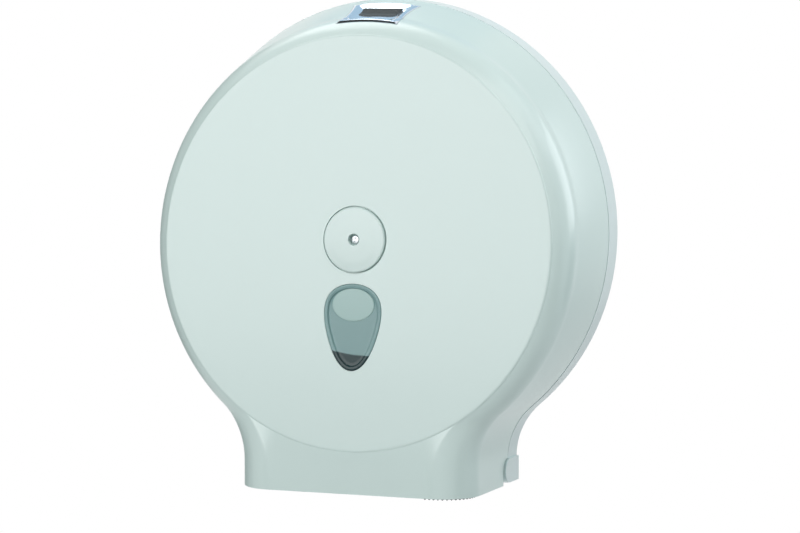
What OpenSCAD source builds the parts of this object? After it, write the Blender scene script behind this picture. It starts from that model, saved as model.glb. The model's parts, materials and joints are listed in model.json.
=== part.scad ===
// Jumbo toilet roll dispenser, wall hung, with a hinged moulded cover.
// Origin: spindle axis on the wall plane. X to the viewer's right, the front looks along -Y, Z up.

/* [Body] */
// Radius of the rear rim of the round body
drum_r = 161.5; // [156:0.5:166]
// Height of the rim centre above the spindle axis
rim_rise = 3; // [0:0.5:4]
// Radius of the flat front disc at its crease
disc_r = 143; // [140:0.5:146]
// Distance of the disc's centre below the spindle axis
disc_drop = 2.7; // [0:0.1:4]
// Depth of the front disc from the wall, at the spindle axis
face_d = 89; // [88:0.5:91]
// Backward lean of the front disc in degrees
tilt = 4.8; // [3:0.1:5]
// Depth of the rounded shoulder behind the disc crease
shoulder_d = 20; // [14:1:24]
// Radial growth of the shoulder
shoulder_r = 11.5; // [9:0.5:12]
// Wall of the mouldings
wall = 2.8; // [2.4:0.1:3]

/* [Neck] */
// Half width of the neck at the bottom
neck_w = 87.3; // [85:0.1:89]
// Concave radius between the drum and the neck
neck_fillet = 50; // [45:1:55]
// Level of the bottom edge below the spindle axis
base_z = 175.7; // [174:0.1:178]
// Depth of the neck's front from the wall
apron_d = 101.6; // [101:0.1:103]
// Radius of the neck's front corners at the bottom
corner_r = 26; // [22:1:28]

/* [Back plate] */
// Depth of the plate's rim, which the cover meets
rim_d = 19; // [17:0.5:20]
// Distance between the wall screws, both ways
bolt_pitch = 180; // [160:5:190]
// Radius of the wall screw holes
bolt_r = 3; // [2.5:0.1:3.5]

/* [Hinge] */
// Height of the hinge pins below the spindle axis
pin_z = 165.5; // [165:0.5:166]
// Distance of the hinge pins from the wall
pin_d = 18.5; // [18:0.5:19]
// Radius of the steel hinge pins
pin_r = 2.5; // [2:0.1:3]
// Radius of the hinge ears
ear_r = 8.5; // [8:0.5:9]

/* [Window and cap] */
// Half width of the egg shaped window
egg_w = 21.4; // [20:0.1:24]
// Half height of the window
egg_h = 30.2; // [29:0.1:33]
// Centre of the window below the spindle axis
egg_z = 60.6; // [59:0.1:63]
// How much wider the egg is above its middle than below
egg_k = 0.32; // [0.2:0.01:0.4]
// Half width of the plain raised oval on the window
oval_w = 15.5; // [12:0.1:16]
// Radius of the centre cap
cap_r = 22.6; // [20:0.1:24]

/* [Roll hub] */
// Radius of the fixed spindle
spindle_r = 10; // [9:0.5:11]
// Radius over the ribs of the core sleeve
core_r = 25; // [24:0.5:28]
// Radius of the disc behind the roll
flange_r = 86; // [50:1:90]
// Distance of the hub's nose from the wall
hub_nose = 67; // [64:1:68]

/* [Latch] */
// Half width of the chrome bezel at its front
bezel_w = 23.3; // [22:0.1:24]
// Half width of the thumb slot
slot_w = 14.2; // [13:0.1:15]
// Travel of the latch button
press = 4.5; // [4:0.1:5]

/* [Tear comb] */
// Pitch of the teeth
tooth_pitch = 3.2; // [3:0.1:5]
// How far the teeth stand below the base
tooth_drop = 1.2; // [1:0.1:3]
// Where the teeth begin, to the right of the middle
tooth_start = 53; // [30:1:58]

/* [Hidden] */
$fn = 64;

gap = 0.3;
plate_t = 3;
seam_y = -rim_d;
crease = 1;
arc_n = 40;
fillet_n = 8;
corner_n = 3;
bottom_n = 4;
bottom_c = 0.6;
rise_end = 30;
shoulder_share = 0.32;

abs_white = [0.86, 0.92, 0.91];
abs_shade = [0.80, 0.87, 0.86];
smoke = [0.42, 0.53, 0.53, 0.6];
chrome = [0.75, 0.82, 0.90];
steel = [0.66, 0.68, 0.70];
charcoal = [0.16, 0.19, 0.20];

// Blend of two numbers or points
function mix(a, b, t) = a + (b - a) * t;
// Share eased to a flat start and end
function ease(t) = t * t * (3 - 2 * t);
// Y of the leaning front disc at height z
function face_y(z) = -face_d + tan(tilt) * z;
// Height of the centre of the concave neck fillet
function fillet_z(r, zc, w, f) = zc - sqrt(pow(r + f, 2) - pow(w + f, 2));
// Angle on the drum where that fillet is tangent
function tangent_a(r, zc, w, f) = atan2(fillet_z(r, zc, w, f) - zc, w + f);

// Right half of the body's outline from the top to the bottom centre: a drum arc of radius r about
// height zc, a concave fillet f, a straight side at w, a corner c and the bottom line at zb.
// The third number is the share of the neck: 0 on the drum, 1 below the fillet.
function half_outline(r, zc, w, f, zb, c) =
  let (fz = fillet_z(r, zc, w, f), ta = tangent_a(r, zc, w, f))
  concat(
    [for (i = [0 : arc_n]) let (a = 90 - (90 - ta) * i / arc_n) [r * cos(a), zc + r * sin(a), 0]],
    [for (i = [1 : fillet_n]) let (a = 180 + ta * (1 - i / fillet_n))
      [w + f + f * cos(a), fz + f * sin(a), ease(i / fillet_n)]],
    [for (i = [0 : corner_n]) let (a = -90 * i / corner_n) [w - c + c * cos(a), zb + c + c * sin(a), 1]],
    [for (i = [1 : bottom_n]) [(w - c) * (1 - i / bottom_n), zb, 1]]);
// Right half of the disc's crease circle, with as many points as the outline has
function half_circle(r, ta) =
  let (n = fillet_n + corner_n + 1 + bottom_n)
  concat(
    [for (i = [0 : arc_n]) let (a = 90 - (90 - ta) * i / arc_n) [r * cos(a), r * sin(a) - disc_drop, 0]],
    [for (i = [1 : n]) let (a = mix(ta, -90, i / n)) [r * cos(a), r * sin(a) - disc_drop, 1]]);
// Both halves as one closed loop
function mirrored(h) = concat(h, [for (i = [len(h) - 2 : -1 : 1]) [-h[i][0], h[i][1], h[i][2]]]);

// Place on the rounded shoulder, for a from 0 at the crease to 90 at its rear end
function shoulder_a(a) = rise_end + (90 - rise_end) * a / 90;
function shoulder_back(a) = shoulder_d * (cos(rise_end) - cos(shoulder_a(a))) / cos(rise_end);
function shoulder_out(a) =
  disc_r + crease + shoulder_r * (sin(shoulder_a(a)) - sin(rise_end)) / (1 - sin(rise_end));

// Loop of the cover's skin at shoulder angle a, set in by t from the outer skin
function front_ring(a, t) =
  let (cr = corner_r - t, w = neck_w - t - cr * (1 - sin(a)),
       h = mirrored(half_outline(shoulder_out(a) - t, -disc_drop, w, neck_fillet + t, -base_z + t,
         max(0.3, bottom_c - t))))
  [for (p = h) [p[0], t + (1 - p[2]) * (face_y(p[1]) + crease + shoulder_back(a))
    + p[2] * (-apron_d + cr * (1 - cos(a))), p[1]]];
// Loop behind the shoulder, s from 0 at the shoulder to 1 at the seam
function side_ring(s, t) =
  let (front = front_ring(90, t), r = mix(shoulder_out(90), drum_r - 0.3, s * (1.3 - 0.3 * s)),
       zc = mix(-disc_drop, rim_rise, s),
       h = mirrored(half_outline(r - t, zc, neck_w - t, neck_fillet + t, -base_z + t, max(0.3, bottom_c - t))))
  [for (i = [0 : len(h) - 1]) [h[i][0], mix(front[i][1], seam_y - gap, s), h[i][1]]];
// Loop just outside the disc, and the disc's own crease
function foot_ring(t) =
  let (ta = tangent_a(shoulder_out(0) - t, 0, neck_w - corner_r, neck_fillet + t))
  [for (p = mirrored(half_circle(disc_r + crease / 2 - t + 0.3, ta)))
[p[0], t + face_y(p[1]) + crease * 0.35, p[1]]];
function disc_ring(t) =
  let (ta = tangent_a(shoulder_out(0) - t, 0, neck_w - corner_r, neck_fillet + t))
  [for (p = mirrored(half_circle(disc_r - t, ta))) [p[0], t + face_y(p[1]), p[1]]];

// Triangles between loop k and loop k + 1 of n points each
function band(k, n) = [for (i = [0 : n - 1]) let (j = (i + 1) % n)
  each [[k * n + i, k * n + j, (k + 1) * n + i], [k * n + j, (k + 1) * n + j, (k + 1) * n + i]]];

// The moulded skin of the cover as one closed loft: outer loops forward, inner loops back
module cover_skin() {
  outer = concat([for (s = [1, 0.66, 0.33]) side_ring(s, 0)],
    [for (a = [90 : -15 : 0]) front_ring(a, 0)], [foot_ring(0), disc_ring(0)]);
  inner = concat([disc_ring(wall), foot_ring(wall)],
    [for (a = [0 : 15 : 90]) front_ring(a, wall)], [side_ring(0.5, wall), side_ring(1, wall)]);
  n = len(outer[0]);
  loops = len(outer) + len(inner);
  tip = loops * n;
  front = len(outer) - 1;
  points = concat([for (r = outer) each r], [for (r = inner) each r],
    [[0, face_y(0), 0], [0, face_y(0) + wall, 0]]);
  faces = concat(
    [for (k = [0 : loops - 2]) if (k != front) each band(k, n)],
    [for (i = [0 : n - 1]) [front * n + i, front * n + (i + 1) % n, tip]],
    [for (i = [0 : n - 1]) [(front + 1) * n + (i + 1) % n, (front + 1) * n + i, tip + 1]],
    [for (i = [0 : n - 1]) let (j = (i + 1) % n, k = (loops - 1) * n)
      each [[k + i, k + j, i], [k + j, j, i]]]);
  polyhedron(points, faces, convexity = 8);
}

// Outline of the rear of the body as a plane shape, set in by t
module rear_outline(t) {
  w = neck_w - t;
  f = neck_fillet + t;
  r = drum_r - t;
  fz = fillet_z(r, rim_rise, w, f);
  tx = r / (r + f) * (w + f);
  translate([0, rim_rise]) circle(r, $fn = 160);
  difference() {
    translate([-tx, -base_z + t]) square([2 * tx, base_z - t]);
    for (s = [-1, 1]) {
      translate([s * (w + f), fz]) circle(f);
      translate([s > 0 ? w : -w - 2 * f, -base_z]) square([2 * f, base_z + fz]);
    }
  }
}

// A plane shape drawn in X and Z, made solid from y_front to y_back
module along_y(y_front, y_back) translate([0, y_back, 0]) rotate([90, 0, 0])
  linear_extrude(y_back - y_front) children();
// A plane shape drawn in Y and Z, made solid from x = x0 to x1
module along_x(x0, x1) translate([x0, 0, 0]) rotate([90, 0, 90]) linear_extrude(x1 - x0) children();
// A straight cylinder along Y
module rod_y(r, y_front, y_back) translate([0, y_back, 0]) rotate([90, 0, 0]) cylinder(r = r, h = y_back - y_front);
// A straight cylinder along X
module rod_x(r, x0, x1) translate([x0, 0, 0]) rotate([0, 90, 0]) cylinder(r = r, h = x1 - x0);
// Local axes on the leaning disc: X right, Y up the face, Z outwards
module on_face() translate([0, -face_d, 0]) rotate([90 - tilt, 0, 0]) children();
module both_sides() for (s = [0, 1]) mirror([s, 0, 0]) children();
// A round tube
module tube(r_out, r_in, h) difference() {
  cylinder(r = r_out, h = h);
  translate([0, 0, -1]) cylinder(r = r_in, h = h + 2);
}

// The plate that is screwed to the wall, with its rim, ribs and hinge ears
ear_x0 = neck_w - 12;
ear_x1 = neck_w + 1.5;
module ear_profile(r) {
  translate([-pin_d, -pin_z]) circle(r);
  translate([-pin_d, -pin_z - r]) square([pin_d, 2 * r]);
}
module plate_ribs() {
  rib_top = -plate_t - 3;
  along_y(rib_top, -plate_t + 0.5) {
    difference() { circle(112); circle(109.6); }
    difference() { circle(66); circle(63.6); }
    for (a = [0 : 45 : 315]) rotate(a + 22.5) translate([34, -1.1]) square([118, 2.2]);
    for (s = [-1, 1]) translate([s * 40 - 1.1, -base_z + 4]) square([2.2, 50]);
  }
}
module back_plate() color(abs_shade) difference() {
  union() {
    along_y(-plate_t, 0) rear_outline(0.8);
    along_y(seam_y, -0.6) difference() { rear_outline(0); rear_outline(2.4); }
    intersection() {
      along_y(seam_y - 3, -plate_t + 0.5) difference() { rear_outline(wall + 1.4); rear_outline(wall + 3); }
      translate([-200, -50, -100]) cube([400, 60, 400]);
    }
    plate_ribs();
    along_y(-plate_t - 4, -plate_t + 0.5) circle(34);
    for (x = [-1, 1], z = [-1, 1]) translate([x * bolt_pitch / 2, 0, z * bolt_pitch / 2])
      rod_y(9, -plate_t - 3, -plate_t + 0.5);
    both_sides() along_x(ear_x0, ear_x1) ear_profile(ear_r);
    both_sides() along_x(ear_x0 - 3, ear_x0 + 0.5) translate([-6, -pin_z - 6]) square([6, 30]);
    along_y(-14, -plate_t + 0.5) translate([-58, -base_z + 5.2]) square([116, 2.2]);
  }
  translate([-250, -60, -base_z - 20]) cube([500, 80, 21.5]);
  translate([-ear_x0 + 2.6, -40, -base_z - 5]) cube([2 * ear_x0 - 5.2, 40 - plate_t, 10]);
  for (x = [-1, 1], z = [-1, 1]) translate([x * bolt_pitch / 2, 0, z * bolt_pitch / 2]) rod_y(bolt_r, -20, 5);
  rod_y(spindle_r + 4.4, -plate_t - 5, -plate_t - 1.5);
  for (a = [90, 210, 330]) rotate([0, a, 0]) translate([0, 0, 23]) rod_y(1.4, -plate_t - 5, -1);
  for (x = [-9, 9]) translate([x, 0, striker_z0 + 6]) rod_y(1.4, -plate_t - 1, -1);
  both_sides() translate([0, -pin_d, -pin_z]) rod_x(pin_r, ear_x0 - 4, ear_x1 - 3);
}

// Folded steel striker that the latch hook catches behind
striker_z0 = 112;
lip_z = 144.5;
lip_y = -17;
hook_z = lip_z - 0.3;
module striker() color(steel) difference() {
  along_x(-14, 14) polygon([[-plate_t, striker_z0], [-plate_t - 2, striker_z0], [-plate_t - 2, lip_z + 3.5],
    [lip_y + 2, lip_z + 3.5], [lip_y + 2, lip_z], [lip_y, lip_z], [lip_y, lip_z + 5.5], [-plate_t, lip_z + 5.5]]);
  for (x = [-9, 9]) translate([x, 0, striker_z0 + 6]) rod_y(1.7, -20, 5);
}
module pan_screw(head_r, head_h, shank_r, shank_l) {
  difference() {
    rotate_extrude() polygon([[0, 0], [head_r, 0], [head_r, head_h * 0.5], [head_r * 0.72, head_h * 0.9],
      [head_r * 0.4, head_h], [0, head_h]]);
    for (a = [0, 90]) rotate(a) translate([-head_r * 0.6, -head_r * 0.11, head_h * 0.45])
      cube([head_r * 1.2, head_r * 0.22, head_h]);
  }
  translate([0, 0, -shank_l]) cylinder(r = shank_r, h = shank_l + 0.2);
}
module striker_screws() color(steel) for (x = [-9, 9])
  translate([x, -plate_t - 2, striker_z0 + 6]) rotate([90, 0, 0]) pan_screw(3.2, 1.8, 1.38, 3.6);

module hinge_pins() color(steel) both_sides() translate([0, -pin_d, -pin_z]) {
  rod_x(pin_r - 0.02, ear_x0 - 11, ear_x1 - 3.4);
  rod_x(pin_r + 1.4, ear_x0 - 12.6, ear_x0 - 11);
}

// Fixed spindle with its flange, turned about the roll axis
spindle_nose = 73;
module spindle_post() color(abs_shade) difference() {
  rotate([90, 0, 0]) rotate_extrude() polygon([[0, plate_t + 1.6], [spindle_r + 4.2, plate_t + 1.6],
    [spindle_r + 4.2, plate_t + 4], [31, plate_t + 4], [31, plate_t + 7], [14, plate_t + 7],
    [14, plate_t + 9], [spindle_r, plate_t + 9], [spindle_r, hub_nose + 2], [spindle_r - 1.2, hub_nose + 2],
    [spindle_r - 1.2, hub_nose + 3.4], [spindle_r, hub_nose + 3.4], [spindle_r, spindle_nose - 1.2],
    [spindle_r - 1.2, spindle_nose], [0, spindle_nose]]);
  rod_y(6, -spindle_nose - 1, -plate_t - 10);
  for (a = [90, 210, 330]) rotate([0, a, 0]) translate([0, 0, 23]) rod_y(1.7, -20, 0);
}
module spindle_screws() color(steel) for (a = [90, 210, 330])
  rotate([0, a, 0]) translate([0, -plate_t - 7, 23]) rotate([90, 0, 0]) pan_screw(3.4, 2, 1.38, 8.4);
module spindle_clip() color(steel) translate([0, -hub_nose - 2.1, 0]) rotate([90, 0, 0]) difference() {
  union() {
    tube(spindle_r + 3, spindle_r - 1.1, 1.2);
    for (s = [-1, 1]) translate([s * 4.4, -spindle_r - 2.2, 0]) cylinder(r = 2.2, h = 1.2);
  }
  translate([-2.6, -spindle_r - 6, -1]) cube([5.2, 7, 4]);
}
module hub_washer() color([0.9, 0.9, 0.88]) translate([0, -hub_nose - 0.2, 0]) rotate([90, 0, 0])
  tube(16.5, spindle_r + 0.15, 1.5);

// Turning hub: a sleeve on the spindle with a pierced disc that keeps the roll off the plate
module roll_hub() color(abs_white) rotate([90, 0, 0]) translate([0, 0, plate_t + 9.4]) difference() {
  union() {
    cylinder(r = 15, h = hub_nose - plate_t - 9.4);
    cylinder(r = flange_r, h = 2.2);
    cylinder(r = 20, h = 5);
    tube(flange_r, flange_r - 2.4, 4.5);
    for (a = [0 : 60 : 300]) rotate(a) translate([0, -1.1, 0]) cube([flange_r - 1, 2.2, 4]);
  }
  translate([0, 0, -1]) cylinder(r = spindle_r + 0.05, h = 90);
  for (a = [30 : 60 : 330]) rotate(a) translate([44, 0, -1]) cylinder(r = 14, h = 8);
}
// Ribbed sleeve that the roll's cardboard core slides over
module core_sleeve() color(abs_shade) rotate([90, 0, 0]) translate([0, 0, plate_t + 14.6]) {
  len = hub_nose - plate_t - 14.6 - 1;
  difference() {
    union() {
      cylinder(r = core_r - 4, h = len);
      for (a = [0 : 30 : 330]) rotate(a) rotate([90, 0, 0]) translate([0, 0, -1])
        linear_extrude(2) polygon([[15, 0.4], [core_r, 0.4], [core_r, len - 6], [core_r - 3.5, len], [15, len]]);
      translate([0, 0, len - 3]) cylinder(r1 = core_r - 2.5, r2 = core_r - 4, h = 3);
    }
    translate([0, 0, -1]) cylinder(r = 15.03, h = len + 2);
  }
}

// Egg shaped outline of the window, grown by g, about the middle of the window
function egg(g) = [for (a = [0 : 7.5 : 352.5]) let (c = cos(a), k = egg_k * c + egg_k / 2 * c * c)
  [(egg_w * 0.945 * (1 + k) + g) * sin(a), (egg_h + g) * c]];
// Places of the window's four fixing bosses on the face
egg_posts = [for (s = [-1, 1], y = [14, -16]) [s * (y > 0 ? 28.5 : 23.5), y - egg_z]];
module egg_plate(g, z0, z1) on_face() translate([0, -egg_z, z0]) linear_extrude(z1 - z0) polygon(egg(g));

// Front cover: the moulded skin with its hinge lugs, bosses and openings
module mouth_plan(t) {
  x = neck_w - t;
  r = corner_r - t;
  y = -apron_d + t;
  translate([-x + r, y]) square([2 * (x - r), 100]);
  translate([-x, y + r]) square([2 * x, 100]);
  for (s = [-1, 1]) translate([s * (x - r), y + r]) circle(r);
}
module hinge_notch() {
  along_x(ear_x0 - 0.6, neck_w + 20) {
    translate([-pin_d, -pin_z]) circle(ear_r + 0.6);
    translate([-pin_d - ear_r - 0.6, -base_z - 20]) square([60, base_z - pin_z + 20]);
    translate([-pin_d, -base_z - 20]) square([60, base_z - pin_z + 20 + ear_r + 0.6]);
  }
}
module hinge_lug() {
  x0 = ear_x0 - 10.6;
  along_x(x0, ear_x0 - 3.4) {
    translate([-pin_d, -pin_z]) circle(7.5);
    translate([-pin_d - 34, -pin_z - 5]) square([34, 10]);
  }
  along_x(x0, neck_w - 1) translate([-pin_d - 34, -pin_z - 5]) square([19, 10]);
}
bezel_s0 = 0.16;
bezel_s1 = 0.83;
module cover_shell() color(abs_white) difference() {
  union() {
    difference() {
      cover_skin();
      translate([0, 0, -base_z - 10]) linear_extrude(14) mouth_plan(wall + 0.3);
      both_sides() hinge_notch();
    }
    both_sides() hinge_lug();
    on_face() {
      for (a = [30, 150, 270]) rotate(a) translate([12, 0, -wall - 1.6]) cylinder(r = 1.5, h = 2);
      for (p = egg_posts) translate([p[0], p[1], -wall - 4.7]) cylinder(r = 2.7, h = 5);
    }
    both_sides() translate([boss_x, housing_y, 143]) cylinder(r = 3, h = 10.9);
  }
  on_face() {
    translate([0, 0, -1.1]) cylinder(r = cap_r + 0.9, h = 10);
    translate([0, 0, -20]) cylinder(r = 6.3, h = 30);
    for (p = egg_posts) translate([p[0], p[1], -wall - 5.7]) cylinder(r = 1.1, h = 6.2);
  }
  egg_plate(0, -10, 10);
  both_sides() translate([0, -pin_d, -pin_z]) rod_x(pin_r + 0.05, 40, ear_x0 - 1);
  both_sides() translate([boss_x, housing_y, 142]) cylinder(r = 1.3, h = 10);
  for (x = comb_screw_x) translate([x, 0, -base_z + 7.5]) rod_y(1.32, -apron_d + 1, -apron_d + 6);
  bezel_opening();
}

// Smoked window: a dished lens with a seat flange and a plain raised oval
module window() color(smoke) {
  difference() {
    egg_plate(-0.25, -wall - 0.4, 0.5);
    egg_plate(-3.2, -1.1, 2);
  }
  egg_plate(3.4, -wall - 1.9, -wall - 0.15);
  on_face() translate([0, -egg_z + 15.6, -1.2]) linear_extrude(0.7)
    polygon([for (a = [0 : 7.5 : 352.5]) [oval_w * cos(a), oval_w * 0.735 * sin(a)]]);
}
// Frame behind the window that clamps its flange to the cover
module window_retainer() color(abs_shade) on_face() translate([0, 0, -wall - 6.6]) difference() {
  union() {
    translate([0, -egg_z, 0]) linear_extrude(4.5) polygon(egg(3));
    for (p = egg_posts) translate([p[0], p[1], 0]) {
      cylinder(r = 3.4, h = 1.8);
      translate([p[0] > 0 ? -6 : 0, -3.4, 0]) cube([6, 6.8, 1.8]);
    }
  }
  translate([0, -egg_z, -1]) linear_extrude(10) polygon(egg(-1));
  for (p = egg_posts) translate([p[0], p[1], -1]) cylinder(r = 1.4, h = 8);
}
module retainer_screws() color(steel) on_face() for (p = egg_posts)
  translate([p[0], p[1], -wall - 6.6]) rotate([180, 0, 0]) pan_screw(2.5, 1.5, 1.08, 6.2);

// Round cap over the spindle, held by one sunk screw
module centre_cap() color(abs_white) on_face() difference() {
  union() {
    rotate_extrude($fn = 160) polygon([[0, -1], [cap_r, -1], [cap_r, 0.9], [cap_r - 0.3, 1.5], [cap_r - 1, 1.8],
      [cap_r * 0.7, 2.1], [cap_r * 0.35, 2.3], [0, 2.35]]);
    translate([0, 0, -5]) cylinder(r = 6, h = 5);
  }
  translate([0, 0, -2.6]) cylinder(r = 4.2, h = 10);
  translate([0, 0, -9]) cylinder(r = 1.9, h = 10);
}
module cap_screw() color(steel) on_face() translate([0, 0, -2.55]) pan_screw(3.4, 2.2, 1.7, 10);
// Inner guide behind the cap, which keeps the roll's nose centred
module roll_guide() color(abs_shade) on_face() difference() {
  union() {
    translate([0, 0, -5.4]) cylinder(r = 22, h = 2.3);
    translate([0, 0, -12.6]) cylinder(r = 6.6, h = 8);
    translate([0, 0, -11]) tube(19, 16.8, 6);
    for (a = [0 : 60 : 300]) rotate(a) translate([5, -0.9, -9.5]) cube([12, 1.8, 4.5]);
  }
  translate([0, 0, -5]) cylinder(r = 6.2, h = 5);
  translate([0, 0, -20]) cylinder(r = 1.72, h = 30);
  for (a = [30, 150, 270]) rotate(a) translate([12, 0, -5]) cylinder(r = 1.6, h = 4);
}

// Point on the top of the drum: s runs from the crease to the seam, a is the angle off the top
function drum_point(s, a, lift) =
  let (q = s / shoulder_share, t = (s - shoulder_share) / (1 - shoulder_share),
       r = (s < shoulder_share ? shoulder_out(90 * q) : mix(shoulder_out(90), drum_r - 0.3, t * (1.3 - 0.3 * t))) + lift,
       z = mix(-disc_drop, rim_rise, max(0, t)) + r * cos(a),
       front = face_y(z) + crease)
  [r * sin(a), s < shoulder_share ? front + shoulder_back(90 * q) : mix(front + shoulder_d, seam_y - gap, t), z];
// Half width of the bezel as an angle: slightly waisted, and a little wider at the rear
function bezel_half(s, grow) =
  let (v = (s - bezel_s0) / (bezel_s1 - bezel_s0))
  asin((bezel_w * (1 + 0.06 * v - 0.09 * sin(180 * v)) + grow) / 158);
// Height of the bezel's chrome skin over the drum: a raised rim round a dished finger rest
function bezel_lift(u, v) =
  let (edge = min((1 - abs(u)) * 9, v * 14, (1 - v) * 9, 1),
       dish = max(0, 1 - pow(u / 0.86, 4)) * max(0, 1 - pow((v - 0.5) / 0.46, 4)))
  0.1 + 0.7 * sin(90 * edge) - 3.2 * dish;
function bezel_low(u, v) = min(-wall, bezel_lift(u, v) - 1.4);
function bezel_point(u, v, lift) =
  let (s = mix(bezel_s0, bezel_s1, v)) drum_point(s, u * bezel_half(s, 0), lift);
module bezel_skin() {
  n = 22;
  m = n + 1;
  function at(i, j, top) = let (u = 2 * i / n - 1, v = j / n)
    bezel_point(u, v, top ? bezel_lift(u, v) : bezel_low(u, v));
  points = [for (top = [true, false], j = [0 : n], i = [0 : n]) at(i, j, top)];
  function cell(i, j) = j * m + i;
  // Two triangles on the top sheet for the square at i, j, and their mirror on the lower sheet
  sheet = [for (j = [0 : n - 1], i = [0 : n - 1]) each
    [[cell(i, j), cell(i, j + 1), cell(i + 1, j)], [cell(i + 1, j), cell(i, j + 1), cell(i + 1, j + 1)]]];
  rim = concat([for (i = [0 : n - 1]) [cell(i, 0), cell(i + 1, 0)]],
    [for (j = [0 : n - 1]) [cell(n, j), cell(n, j + 1)]],
    [for (i = [n : -1 : 1]) [cell(i, n), cell(i - 1, n)]],
    [for (j = [n : -1 : 1]) [cell(0, j), cell(0, j - 1)]]);
  polyhedron(points, concat(sheet, [for (t = sheet) [t[2] + m * m, t[1] + m * m, t[0] + m * m]],
    [for (e = rim) each [[e[0], e[1], e[0] + m * m], [e[1], e[1] + m * m, e[0] + m * m]]]), convexity = 6);
}
housing_y = -41;
boss_x = 27;
slot_y0 = -47;
slot_y1 = -33;
// The opening in the cover: the bezel's own plan outline with a small gap, cut straight down
module bezel_opening() {
  function side(g) = [for (v = [0 : 0.1 : 1]) let (s = mix(bezel_s0, bezel_s1, v), p = drum_point(s, bezel_half(s, gap), 0))
    [g * p[0], p[1] + (v < 0.05 ? -gap : v > 0.95 ? gap : 0)]];
  right = side(1);
  left = side(-1);
  translate([0, 0, 130]) linear_extrude(50)
    polygon(concat([[0, right[0][1]]], right, [for (i = [len(left) - 1 : -1 : 0]) left[i]]));
}
module latch_bezel() color(chrome) {
  difference() {
    bezel_skin();
    translate([-slot_w, slot_y0, 120]) cube([2 * slot_w, slot_y1 - slot_y0, 60]);
  }
  both_sides() for (v = [0.2, 0.88]) {
    p = bezel_point(0.94, v, -wall - 4.2);
    translate([p[0] - 3, p[1] - 2.5, p[2]]) cube([6.5, 5, 1.8]);
    translate([p[0] - 3, p[1] - 2.5, p[2]]) cube([2.4, 5, 5.6]);
  }
}
// Box under the bezel that guides the button and seats its spring
module latch_housing() color(charcoal) difference() {
  union() {
    translate([-17, slot_y0 - 2.6, 128]) cube([34, slot_y1 - slot_y0 + 5.2, 21.4]);
    translate([-boss_x - 3.4, housing_y - 3.4, 140.8]) cube([2 * boss_x + 6.8, 6.8, 2]);
  }
  translate([-slot_w - 0.2, slot_y0 - 0.2, 130.5]) cube([2 * slot_w + 0.4, slot_y1 - slot_y0 + 0.4, 30]);
  translate([-8.4, slot_y1 - 1, 134.2]) cube([16.8, 8, 20]);
  both_sides() translate([boss_x, housing_y, 130]) cylinder(r = 1.6, h = 20);
}
module latch_screws() color(steel) both_sides() translate([boss_x, housing_y, 140.8])
  rotate([180, 0, 0]) pan_screw(2.8, 1.7, 1.28, 9);
// Push button with a ribbed thumb face, a long arm and an upturned hook
module latch_button() color(charcoal) difference() {
  union() {
    along_x(-slot_w + gap, slot_w - gap) polygon([[slot_y0 + gap, 138.5], [slot_y1 - gap, 138.5],
      [slot_y1 - gap, 158.2], for (k = [0 : 3]) each [[slot_y1 - 5.4 - 1.3 * k, 158.2 - 0.9 * k],
      [slot_y1 - 5.4 - 1.3 * k, 157.6 - 0.9 * k]], [slot_y0 + gap, 154.4]]);
    translate([-8, slot_y1 - 2, 139.6]) cube([16, lip_y - slot_y1 + 7.4, 3]);
    along_x(-8, 8) polygon([[lip_y + 2.6, 139.6], [lip_y + 5.4, 139.6], [lip_y + 5.4, hook_z - 1.2],
      [lip_y + 4.4, hook_z], [lip_y + 2.6, hook_z]]);
  }
  translate([0, housing_y + 1, 130]) tube(5.6, 2.6, 15);
}
// Steel return spring, one unbroken helix with a round wire
module latch_spring() color(steel) {
  turns = 6;
  wire = 0.45;
  r = 4.1;
  z0 = 130.5 + wire;
  z1 = 145 - wire;
  seg = 16;
  sides = 6;
  n = turns * seg;
  points = [for (i = [0 : n], k = [0 : sides - 1])
    let (a = 360 * i / seg, b = 360 * k / sides, q = r + wire * cos(b))
    [q * cos(a), housing_y + 1 + q * sin(a), mix(z0, z1, i / n) + wire * sin(b)]];
  faces = concat([[for (k = [0 : sides - 1]) k]], [[for (k = [sides - 1 : -1 : 0]) n * sides + k]],
    [for (i = [0 : n - 1], k = [0 : sides - 1]) let (m = (k + 1) % sides, p = i * sides, q = p + sides)
      each [[p + k, q + k, p + m], [p + m, q + k, q + m]]]);
  polyhedron(points, faces, convexity = 10);
}

// Tear comb bent round the inside of the mouth, swept along a U, with teeth round the right front corner
comb_in = wall + 0.6;
comb_t = 1.6;
comb_side = 14;
function comb_path(s, t) =
  let (x = neck_w - t, r = corner_r - t, y = -apron_d + t, half = x - r, mid = corner_r - comb_in,
       quarter = mid * PI / 2, q = abs(s), g = s < 0 ? -1 : 1)
  q < half ? [s, y]
  : q < half + quarter ? let (a = (q - half) / mid * 180 / PI) [g * (half + r * sin(a)), y + r - r * cos(a)]
  : [g * x, y + r + q - half - quarter];
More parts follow.
